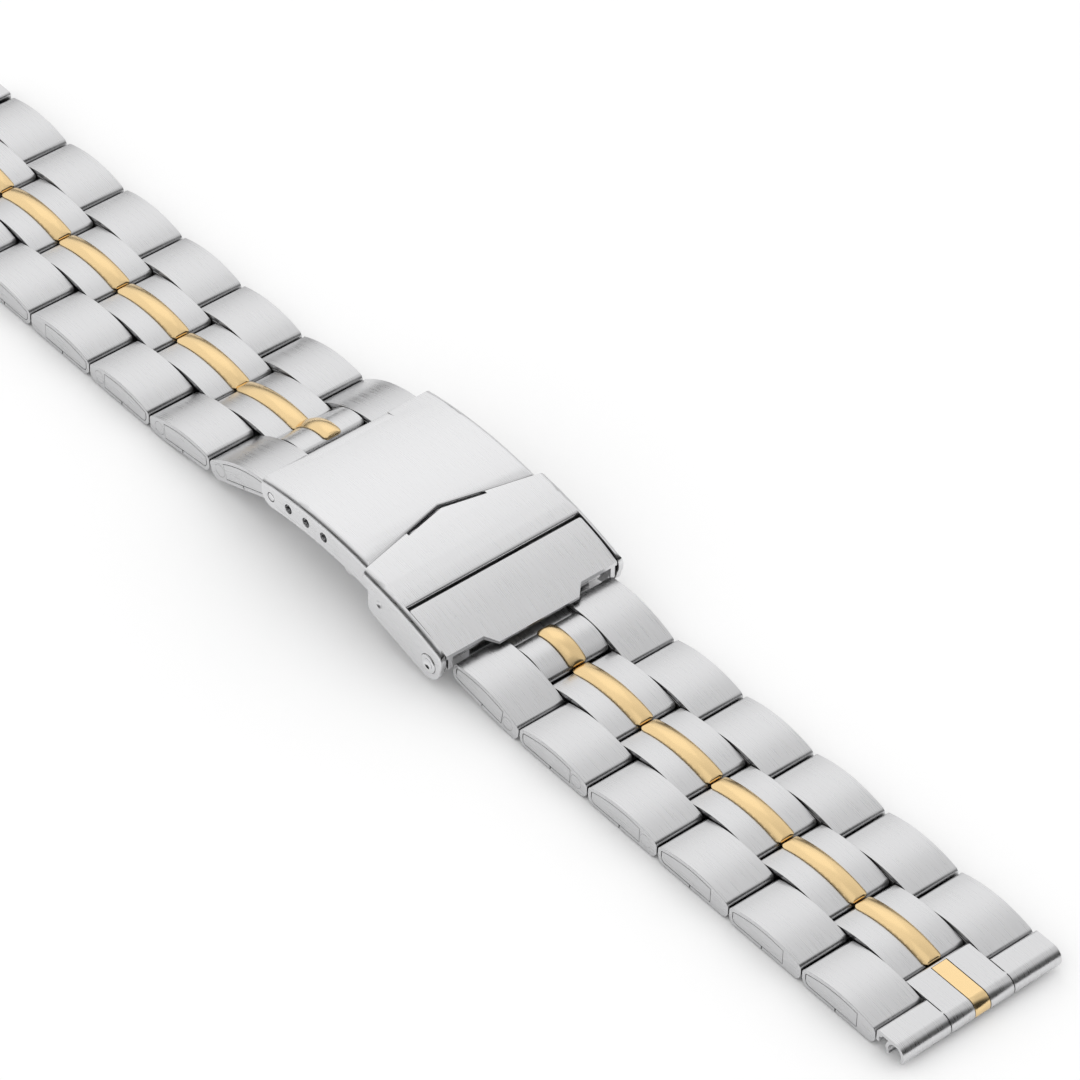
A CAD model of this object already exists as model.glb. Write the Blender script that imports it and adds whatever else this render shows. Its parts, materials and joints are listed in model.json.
# Watch bracelet with folded steel links, a gold bar down the middle and a folding clasp.
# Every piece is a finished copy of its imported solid, in metres and in the same frame.

import json
import math

import bmesh
import bpy
from bpy.props import FloatProperty, FloatVectorProperty, PointerProperty
from mathutils import Matrix, Vector

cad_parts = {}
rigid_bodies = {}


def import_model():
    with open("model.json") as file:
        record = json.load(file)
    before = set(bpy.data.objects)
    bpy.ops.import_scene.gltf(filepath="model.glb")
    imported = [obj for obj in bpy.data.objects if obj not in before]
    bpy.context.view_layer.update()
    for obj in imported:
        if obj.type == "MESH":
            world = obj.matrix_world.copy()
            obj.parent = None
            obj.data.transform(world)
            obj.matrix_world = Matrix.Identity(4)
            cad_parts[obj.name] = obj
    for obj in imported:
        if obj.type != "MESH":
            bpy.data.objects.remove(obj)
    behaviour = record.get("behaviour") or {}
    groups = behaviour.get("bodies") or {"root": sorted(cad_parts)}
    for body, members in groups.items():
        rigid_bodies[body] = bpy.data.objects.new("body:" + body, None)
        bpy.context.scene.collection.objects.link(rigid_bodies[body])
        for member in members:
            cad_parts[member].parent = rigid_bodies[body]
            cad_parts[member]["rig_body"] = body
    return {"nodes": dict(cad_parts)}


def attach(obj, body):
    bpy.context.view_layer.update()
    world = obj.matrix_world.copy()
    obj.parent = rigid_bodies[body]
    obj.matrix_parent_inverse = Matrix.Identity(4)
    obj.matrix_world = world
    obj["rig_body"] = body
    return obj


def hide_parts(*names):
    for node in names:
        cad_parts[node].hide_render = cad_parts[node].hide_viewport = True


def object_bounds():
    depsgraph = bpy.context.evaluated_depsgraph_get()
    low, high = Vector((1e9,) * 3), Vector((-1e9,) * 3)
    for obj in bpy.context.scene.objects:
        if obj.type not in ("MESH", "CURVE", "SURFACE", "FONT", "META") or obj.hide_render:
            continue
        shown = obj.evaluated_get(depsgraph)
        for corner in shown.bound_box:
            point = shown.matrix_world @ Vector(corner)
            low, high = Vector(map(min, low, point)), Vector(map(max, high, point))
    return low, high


bl_info = {
    "name": "Watch bracelet",
    "version": (1, 0, 0),
    "blender": (4, 5, 0),
    "location": "View3D > Sidebar > Bracelet",
    "description": "Finishes the bracelet's links, gold bars and clasp, and sets up its stage",
    "category": "Object",
}

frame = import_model()
CAD_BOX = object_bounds()

MM = 0.001
BRUSH_MAP = "brush"
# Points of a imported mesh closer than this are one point
MERGE = 0.0005 * MM
# Points of one loose solid closer than this are joined, so that its worn edges aren't held back
FINE = 0.035 * MM
# Facets of one flat face turn by less than this
FLAT = math.radians(0.3)
# Edges that turn by more than this are worn round
SHARP = math.radians(31)
# Edges that turn by more than this stay crisp in the shading
CRISP = math.radians(38)
# Segments across a worn edge
EDGE_SEGMENTS = 2
# A face that looks more than this across the band is a side, and more than this along it an end
SIDE_LEAN = 0.7
END_LEAN = 0.8
# A buffed facet looks less than this across, and its tilt is this near its lip's, in degrees
LIP_LEAN = 0.3
LIP_SPREAD = 3
# The range that the noise of the brush lines stays in
LINES_LOW, LINES_HIGH = 0.3, 0.7
# Depth of the brush lines and of the waves in the plating, and how strongly the bump shows them
BRUSH_DEPTH, BRUSH_STRENGTH = 0.006 * MM, 0.4
WAVE_DEPTH, WAVE_STRENGTH = 0.004 * MM, 0.1
# Width of the marks that buffing leaves on steel, and on the plating
STEEL_MARK = 1.5 * MM
GOLD_MARK = 1.2 * MM


def linear(code):
    """Linear colour of an sRGB hex code."""
    parts = [int(code[i : i + 2], 16) / 255 for i in (1, 3, 5)]
    return tuple(p / 12.92 if p <= 0.04045 else ((p + 0.055) / 1.055) ** 2.4 for p in parts)


def colour(name, code, words):
    return FloatVectorProperty(
        name=name, description=words, subtype="COLOR", size=3, min=0, max=1, default=linear(code),
    )


def length(name, millimetres, words):
    return FloatProperty(
        name=name, description=words, subtype="DISTANCE", unit="LENGTH", min=0, default=millimetres * MM,
    )


class BraceletFinish(bpy.types.PropertyGroup):
    steel: colour("Steel", "#E3E3E4", "Colour of the clasp's bare stainless steel")
    link_steel: colour("Link steel", "#D7D7D8", "Colour of the links' steel, with its coarser brushing")
    gold: colour("Gold", "#F0D29E", "Colour of the polished plating on the raised bars")
    floor: colour("Floor", "#FFFFFF", "Colour of the floor")
    steel_roughness: FloatProperty(
        name="Brushed roughness", description="Roughness of the brushed faces", min=0, max=1, default=0.3
    )
    clasp_brush: length("Clasp brush line", 0.09, "Width of one brush line on the clasp")
    link_brush: length("Link brush line", 0.13, "Width of one brush line on the links")
    brush_length: length("Brush stroke", 3.2, "Length of one brush line")
    grime_reach: length("Grime reach", 0.7, "Width of the gaps that hold grime")


class BraceletSizes(bpy.types.PropertyGroup):
    link_edge: length("Link edge", 0.07, "Width of the worn edge round a link")
    clasp_edge: length("Clasp edge", 0.06, "Width of the worn edge round a clasp sheet")
    pin_edge: length("Pin edge", 0.05, "Width of the worn edge round a pin")


def add(tree, kind, inputs=None, **settings):
    """A new node with its settings, and its inputs set or linked."""
    made = tree.nodes.new(kind)
    for name, value in settings.items():
        setattr(made, name, value)
    for key, value in (inputs or {}).items():
        if isinstance(value, bpy.types.NodeSocket):
            tree.links.new(value, made.inputs[key])
        else:
            made.inputs[key].default_value = value
    return made


def new_material(name):
    made = bpy.data.materials.get(name)
    if made:
        return made, None
    made = bpy.data.materials.new(name)
    made.use_nodes = True
    made.node_tree.nodes.clear()
    return made, made.node_tree


def brushed_steel(name, steel, brush_width):
    """Stainless steel brushed along the band with fine grit: soft streaks, stretched highlights."""
    made, tree = new_material(name)
    if tree is None:
        return made
    look = bpy.context.scene.bracelet_finish
    place = add(tree, "ShaderNodeUVMap", uv_map=BRUSH_MAP)
    # The grit's own lines are too fine for the picture, so they are drawn as wide as it can show
    fine = add(tree, "ShaderNodeMapping", {
        "Vector": place.outputs["UV"],
        "Scale": (1 / look.brush_length, 1 / brush_width, 1),
    })
    lines = add(tree, "ShaderNodeTexNoise", {"Vector": fine.outputs["Vector"], "Scale": 1, "Detail": 3})
    rough = add(tree, "ShaderNodeMapRange", {
        "Value": lines.outputs["Fac"], "From Min": LINES_LOW, "From Max": LINES_HIGH,
        "To Min": look.steel_roughness - 0.05, "To Max": look.steel_roughness + 0.06,
    })
    # Dirt left in the deeper lines
    shade = add(tree, "ShaderNodeMapRange", {
        "Value": lines.outputs["Fac"], "From Min": LINES_LOW, "From Max": 0.6,
        "To Min": 0.93, "To Max": 1,
    })
    # Grime in the seams, and in the gaps between the links
    space = add(tree, "ShaderNodeAmbientOcclusion", {"Distance": look.grime_reach}, samples=6)
    clean = add(tree, "ShaderNodeMapRange", {
        "Value": space.outputs["AO"], "From Min": 0.2, "From Max": 0.7, "To Min": 0.25, "To Max": 1,
    })
    both = add(tree, "ShaderNodeMath", {
        0: shade.outputs["Result"], 1: clean.outputs["Result"],
    }, operation="MULTIPLY")
    tint = add(tree, "ShaderNodeVectorMath", {
        0: tuple(steel), "Scale": both.outputs["Value"],
    }, operation="SCALE")
    bump = add(tree, "ShaderNodeBump", {
        "Height": lines.outputs["Fac"], "Strength": BRUSH_STRENGTH, "Distance": BRUSH_DEPTH,
    })
    along = add(tree, "ShaderNodeTangent", direction_type="UV_MAP", uv_map=BRUSH_MAP)
    surface = add(tree, "ShaderNodeBsdfPrincipled", {
        "Base Color": tint.outputs["Vector"], "Roughness": rough.outputs["Result"], "Metallic": 1,
        "Anisotropic": 0.5, "Anisotropic Rotation": 0.25,
        "Normal": bump.outputs["Normal"], "Tangent": along.outputs["Tangent"],
    })
    add(tree, "ShaderNodeOutputMaterial", {"Surface": surface.outputs["BSDF"]})
    return made


def polished_steel():
    """The same steel buffed bright where sheet edges and pins are worn smooth."""
    made, tree = new_material("Polished stainless steel")
    if tree is None:
        return made
    look = bpy.context.scene.bracelet_finish
    place = add(tree, "ShaderNodeTexCoord")
    marks = add(tree, "ShaderNodeTexNoise", {"Vector": place.outputs["Object"], "Scale": 1 / STEEL_MARK})
    rough = add(tree, "ShaderNodeMapRange", {"Value": marks.outputs["Fac"], "To Min": 0.1, "To Max": 0.2})
    surface = add(tree, "ShaderNodeBsdfPrincipled", {
        "Base Color": (*look.steel, 1), "Roughness": rough.outputs["Result"], "Metallic": 1,
    })
    add(tree, "ShaderNodeOutputMaterial", {"Surface": surface.outputs["BSDF"]})
    return made


def polished_gold():
    """Pale gold plating, polished to a mirror with the faint waviness of hand buffing."""
    made, tree = new_material("Polished gold plating")
    if tree is None:
        return made
    look = bpy.context.scene.bracelet_finish
    place = add(tree, "ShaderNodeTexCoord")
    marks = add(tree, "ShaderNodeTexNoise", {
        "Vector": place.outputs["Object"], "Scale": 1 / GOLD_MARK, "Detail": 1,
    })
    rough = add(tree, "ShaderNodeMapRange", {"Value": marks.outputs["Fac"], "To Min": 0.14, "To Max": 0.26})
    bump = add(tree, "ShaderNodeBump", {
        "Height": marks.outputs["Fac"], "Strength": WAVE_STRENGTH, "Distance": WAVE_DEPTH,
    })
    surface = add(tree, "ShaderNodeBsdfPrincipled", {
        "Base Color": (*look.gold, 1), "Roughness": rough.outputs["Result"], "Metallic": 1,
        "Normal": bump.outputs["Normal"],
    })
    add(tree, "ShaderNodeOutputMaterial", {"Surface": surface.outputs["BSDF"]})
    return made


def lay_brush_map(bm, turn):
    """Maps each face in metres, along the band and across it, so that the brush lines follow the sheet."""
    layer = bm.loops.layers.uv.new(BRUSH_MAP)
    for face in bm.faces:
        looks = turn @ face.normal
        side = abs(looks.y) > SIDE_LEAN
        end = abs(looks.x) > END_LEAN
        for corner in face.loops:
            at = turn @ corner.vert.co
            corner[layer].uv = (at.z if end else at.x, at.z if side else at.y)


def solids_in(bm):
    """The vertices of each loose solid of a mesh."""
    left = set(bm.verts)
    while left:
        found, reach = set(), [left.pop()]
        while reach:
            vert = reach.pop()
            found.add(vert)
            for edge in vert.link_edges:
                other = edge.other_vert(vert)
                if other in left:
                    left.remove(other)
                    reach.append(other)
        yield list(found)


def finish_node(node, edge, materials, slope=0, lips=()):
    """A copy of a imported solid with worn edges. They and the facets of its lips take the last material."""
    bm = bmesh.new()
    bm.from_mesh(frame["nodes"][node].data)
    bmesh.ops.remove_doubles(bm, verts=bm.verts, dist=MERGE)
    for verts in list(solids_in(bm)):
        bmesh.ops.remove_doubles(bm, verts=verts, dist=FINE)
    bmesh.ops.dissolve_limit(bm, angle_limit=FLAT, verts=bm.verts, edges=bm.edges, delimit={"NORMAL"})
    bm.normal_update()
    last = len(materials) - 1
    for face in bm.faces:
        along, across, up = face.normal
        tilt = math.degrees(math.atan2(up, along))
        buffed = abs(across) < LIP_LEAN and any(abs(tilt - lip) < LIP_SPREAD for lip in lips)
        face.material_index = last if buffed else 0
    worn = [e for e in bm.edges if e.is_manifold and e.calc_face_angle() > SHARP]
    made = bmesh.ops.bevel(
        bm, geom=worn, offset=edge, offset_type="OFFSET", segments=EDGE_SEGMENTS, profile=0.5,
        affect="EDGES", clamp_overlap=True, material=-1,
    )
    for face in made["faces"]:
        face.material_index = last
    bm.normal_update()
    lay_brush_map(bm, Matrix.Rotation(math.radians(slope), 3, "Y"))
    mesh = bpy.data.meshes.new(node + "_finished")
    bm.to_mesh(mesh)
    bm.free()
    for material in materials:
        mesh.materials.append(material)
    mesh.shade_smooth()
    mesh.set_sharp_from_angle(angle=CRISP)
    piece = bpy.data.objects.new(node + "_finished", mesh)
    bpy.context.scene.collection.objects.link(piece)
    normals = piece.modifiers.new("Even shading", "WEIGHTED_NORMAL")
    normals.keep_sharp = True
    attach(piece, frame["nodes"][node]["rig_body"])
    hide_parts(node)
    return piece


def link_steel():
    look = bpy.context.scene.bracelet_finish
    return brushed_steel("Brushed stainless steel", look.link_steel, look.link_brush)


def clasp_steel():
    look = bpy.context.scene.bracelet_finish
    return brushed_steel("Fine brushed stainless steel", look.steel, look.clasp_brush)


def nodes_named(start):
    return sorted(n for n in frame["nodes"] if n.startswith(start))


# Turns that lay the links that rise to the clasp flat again, in degrees
SLOPES = {"right_1": -8.8, "left_1": 20.7, "left_2": 6.9}
# Tilts of the polished facets along the ends of the clasp sheets and in the thumb rest, in degrees
LIPS = {"cover": (30, 60, 106), "end_block": (120, 150), "safety_catch": (30, 60)}


def slope_of(node):
    return next((turn for end, turn in SLOPES.items() if node.endswith(end)), 0)


class BRACELET_OT_links(bpy.types.Operator):
    """Finish the outer and middle links, with their pins and core strips"""

    bl_idname = "bracelet.links"
    bl_label = "Steel links"

    def execute(self, context):
        sizes = context.scene.bracelet_sizes
        for node in nodes_named("outer_links") + nodes_named("centre_link"):
            finish_node(node, sizes.link_edge, [link_steel()], slope_of(node))
        return {"FINISHED"}


class BRACELET_OT_gold_bars(bpy.types.Operator):
    """Finish the raised gold bars and the flat gold strips in the end pieces"""

    bl_idname = "bracelet.gold_bars"
    bl_label = "Gold bars"

    def execute(self, context):
        sizes = context.scene.bracelet_sizes
        for node in nodes_named("gold_"):
            finish_node(node, sizes.pin_edge, [polished_gold()], slope_of(node))
        return {"FINISHED"}


class BRACELET_OT_end_pieces(bpy.types.Operator):
    """Finish the two end pieces with their curls"""

    bl_idname = "bracelet.end_pieces"
    bl_label = "End pieces"

    def execute(self, context):
        sizes = context.scene.bracelet_sizes
        for node in nodes_named("end_piece"):
            finish_node(node, sizes.clasp_edge, [link_steel()])
        return {"FINISHED"}


class BRACELET_OT_clasp(bpy.types.Operator):
    """Finish the cover, the end block and the safety catch"""

    bl_idname = "bracelet.clasp"
    bl_label = "Clasp"

    def execute(self, context):
        sizes = context.scene.bracelet_sizes
        for node, lips in LIPS.items():
            steels = [clasp_steel(), polished_steel()]
            finish_node(node, sizes.clasp_edge, steels, lips=lips)
        return {"FINISHED"}


class BRACELET_OT_blades(bpy.types.Operator):
    """Finish the folding blades, the clasp's pins and the spring bar"""

    bl_idname = "bracelet.blades"
    bl_label = "Blades and pins"

    def execute(self, context):
        sizes = context.scene.bracelet_sizes
        for node in ("upper_blade", "lower_blade", "cover_pin", "fold_pin", "clasp_pin",
                     "spring_bar_tube", "spring_bar_tips"):
            finish_node(node, sizes.pin_edge, [polished_steel()])
        return {"FINISHED"}


class BRACELET_OT_stage(bpy.types.Operator):
    """Lay the floor, set the light and place the camera"""

    bl_idname = "bracelet.stage"
    bl_label = "Stage"

    def execute(self, context):
        scene = context.scene
        lay_floor(scene.bracelet_finish.floor)
        set_world(scene)
        set_lamps()
        place_camera(scene)
        scene.view_settings.view_transform = "Standard"
        return {"FINISHED"}


# Half the width of the floor, in metres, so that its edge is never in the picture
FLOOR_HALF = 3


def lay_floor(shade):
    bm = bmesh.new()
    low = Matrix.Translation((0, 0, CAD_BOX[0][2]))
    bmesh.ops.create_grid(bm, x_segments=1, y_segments=1, size=FLOOR_HALF, matrix=low)
    mesh = bpy.data.meshes.new("floor")
    bm.to_mesh(mesh)
    bm.free()
    material, tree = new_material("Matt white floor")
    if tree is not None:
        surface = add(tree, "ShaderNodeBsdfDiffuse", {"Color": (*shade, 1)})
        add(tree, "ShaderNodeOutputMaterial", {"Surface": surface.outputs["BSDF"]})
    mesh.materials.append(material)
    floor = bpy.data.objects.new("floor", mesh)
    bpy.context.scene.collection.objects.link(floor)


# Towards the softbox that the tops of the links show in the picture
KEY_DIRECTION = Vector((-0.55, 0.45, 0.7)).normalized()
# The lamps: name, place and width in metres, and power in watts
LAMPS = (
    ("softbox", KEY_DIRECTION * 0.9, 0.5, 0.12),
    ("top light", Vector((0.1, 0.05, 0.9)), 0.4, 0.08),
)
# How the tent of light fades for metal: the axis, where it is dim and where full, and how dim
FADES = (
    ("X", 0.75, 0.3, 0.04),
    ("X", 0.05, -0.5, 0.75),
    ("Y", -0.7, -0.25, 0.03),
    ("Z", 0.05, 0.33, 0.12),
)


def set_world(scene):
    """A white room for the floor, and for the metal a tent of light, dark low down and in front."""
    world = bpy.data.worlds.new("Studio")
    scene.world = world
    world.use_nodes = True
    tree = world.node_tree
    tree.nodes.clear()
    place = add(tree, "ShaderNodeTexCoord")
    towards = add(tree, "ShaderNodeSeparateXYZ", {"Vector": place.outputs["Generated"]})
    level = None
    for axis, dim_at, full_at, dim in FADES:
        fade = add(tree, "ShaderNodeMapRange", {
            "Value": towards.outputs[axis], "From Min": dim_at, "From Max": full_at,
            "To Min": dim, "To Max": 1,
        }, interpolation_type="SMOOTHSTEP").outputs["Result"]
        level = fade if level is None else add(
            tree, "ShaderNodeMath", {0: level, 1: fade}, operation="MULTIPLY"
        ).outputs["Value"]
    path = add(tree, "ShaderNodeLightPath")
    strength = add(tree, "ShaderNodeMix", {"Factor": path.outputs["Is Glossy Ray"], "A": 1.0, "B": level})
    room = add(tree, "ShaderNodeBackground", {"Color": (1, 1, 1, 1), "Strength": strength.outputs["Result"]})
    add(tree, "ShaderNodeOutputWorld", {"Surface": room.outputs["Background"]})


def set_lamps():
    for name, at, size, power in LAMPS:
        lamp = bpy.data.lights.new(name, "AREA")
        lamp.shape = "SQUARE"
        lamp.size = size
        lamp.energy = power
        holder = bpy.data.objects.new(name, lamp)
        holder.location = at
        holder.rotation_euler = (-at).to_track_quat("-Z", "Y").to_euler()
        bpy.context.scene.collection.objects.link(holder)


# The camera that fits the edges of the links in the picture
CAMERA_AT = Vector((300.11, -244.678, 354.296)) * MM
CAMERA_RIGHT = Vector((0.642611, 0.765966, 0.01865))
CAMERA_DOWN = Vector((0.526006, -0.423335, -0.737634))
CAMERA_AHEAD = Vector((-0.557107, 0.483822, -0.674943))
# Focal length and sensor width in millimetres, and the nearest distance that is drawn in metres
LENS = 193.396
SENSOR = 36
NEAREST = 0.05


def place_camera(scene):
    data = bpy.data.cameras.new("camera")
    data.sensor_width = SENSOR
    data.lens = LENS
    data.clip_start = NEAREST
    holder = bpy.data.objects.new("camera", data)
    turn = Matrix((CAMERA_RIGHT, -CAMERA_DOWN, -CAMERA_AHEAD)).transposed()
    holder.matrix_world = Matrix.Translation(CAMERA_AT) @ turn.to_4x4()
    scene.collection.objects.link(holder)
    scene.camera = holder


class BRACELET_PT_panel(bpy.types.Panel):
    """Lists the pieces of the bracelet and their settings"""

    bl_idname = "BRACELET_PT_panel"
    bl_label = "Bracelet"
    bl_space_type = "VIEW_3D"
    bl_region_type = "UI"
    bl_category = "Bracelet"

    def draw(self, context):
        for settings in (context.scene.bracelet_sizes, context.scene.bracelet_finish):
            for name in settings.__annotations__:
                self.layout.prop(settings, name)
        for operator in OPERATORS:
            self.layout.operator(operator.bl_idname)


OPERATORS = (
    BRACELET_OT_links, BRACELET_OT_gold_bars, BRACELET_OT_end_pieces, BRACELET_OT_clasp,
    BRACELET_OT_blades, BRACELET_OT_stage,
)
CLASSES = (BraceletFinish, BraceletSizes, *OPERATORS, BRACELET_PT_panel)


def register():
    for made in CLASSES:
        bpy.utils.register_class(made)
    bpy.types.Scene.bracelet_finish = PointerProperty(type=BraceletFinish)
    bpy.types.Scene.bracelet_sizes = PointerProperty(type=BraceletSizes)


def unregister():
    del bpy.types.Scene.bracelet_sizes
    del bpy.types.Scene.bracelet_finish
    for made in reversed(CLASSES):
        bpy.utils.unregister_class(made)


def main():
    register()
    bpy.ops.bracelet.links()
    bpy.ops.bracelet.gold_bars()
    bpy.ops.bracelet.end_pieces()
    bpy.ops.bracelet.clasp()
    bpy.ops.bracelet.blades()
    bpy.ops.bracelet.stage()


if __name__ == "__main__":
    main()
